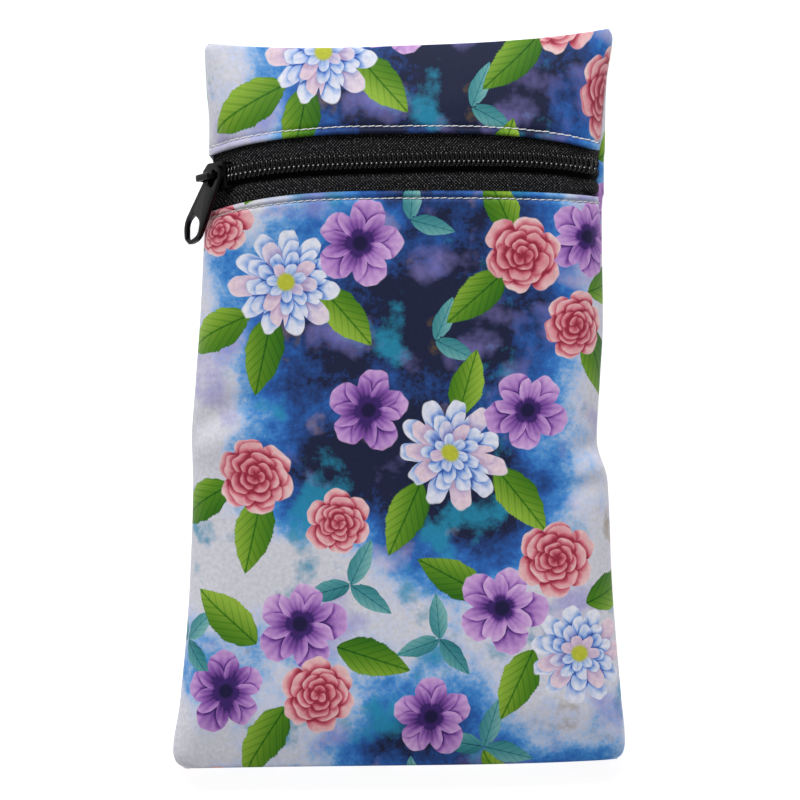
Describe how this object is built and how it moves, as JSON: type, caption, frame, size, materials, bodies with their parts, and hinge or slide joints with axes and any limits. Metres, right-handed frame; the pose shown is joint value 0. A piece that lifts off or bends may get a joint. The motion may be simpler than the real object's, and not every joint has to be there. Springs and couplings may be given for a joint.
{
  "type": "phone arm bag",
  "caption": "Soft printed stretch sleeve worn on the forearm, lying flat, with a zipped phone pocket across its front and a metal slider whose pull tab swings on its bridge.",
  "frame": {"origin": "middle of the outline's box, on the surface that the back lies on", "axes": "+Y along the sleeve towards the zipped end, +X across the front towards the side away from the slider, +Z out of the front"},
  "size_m": [0.1168, 0.191, 0.0144],
  "materials": {
    "printed_cloth": "smooth knitted polyester with a printed watercolour flower design in blue, lilac, pink and green, slight sheen",
    "inner_cloth": "plain pale knitted polyester",
    "zip_tape": "black woven polyester tape, herringbone",
    "zip_coil": "black nylon monofilament coil",
    "slider_metal": "die-cast zinc, black enamel"
  },
  "bodies": {
    "bag": {"back_panel": "printed_cloth", "pocket_wall": "inner_cloth", "front_panel": "printed_cloth", "top_panel": "printed_cloth", "zip_tape_upper": "zip_tape", "zip_tape_lower": "zip_tape", "zip_coil_upper": "zip_coil", "zip_coil_lower": "zip_coil", "slider": "slider_metal"},
    "pull": {"pull_tab": "slider_metal"}
  },
  "joints": [
    {"name": "pull_swing", "type": "hinge", "parent": "bag", "child": "pull", "pos_m": [-0.04681, 0.05751, 0.01159], "axis": [-0.788, 0, 0.6157], "range_deg": [0, 240]}
  ]
}
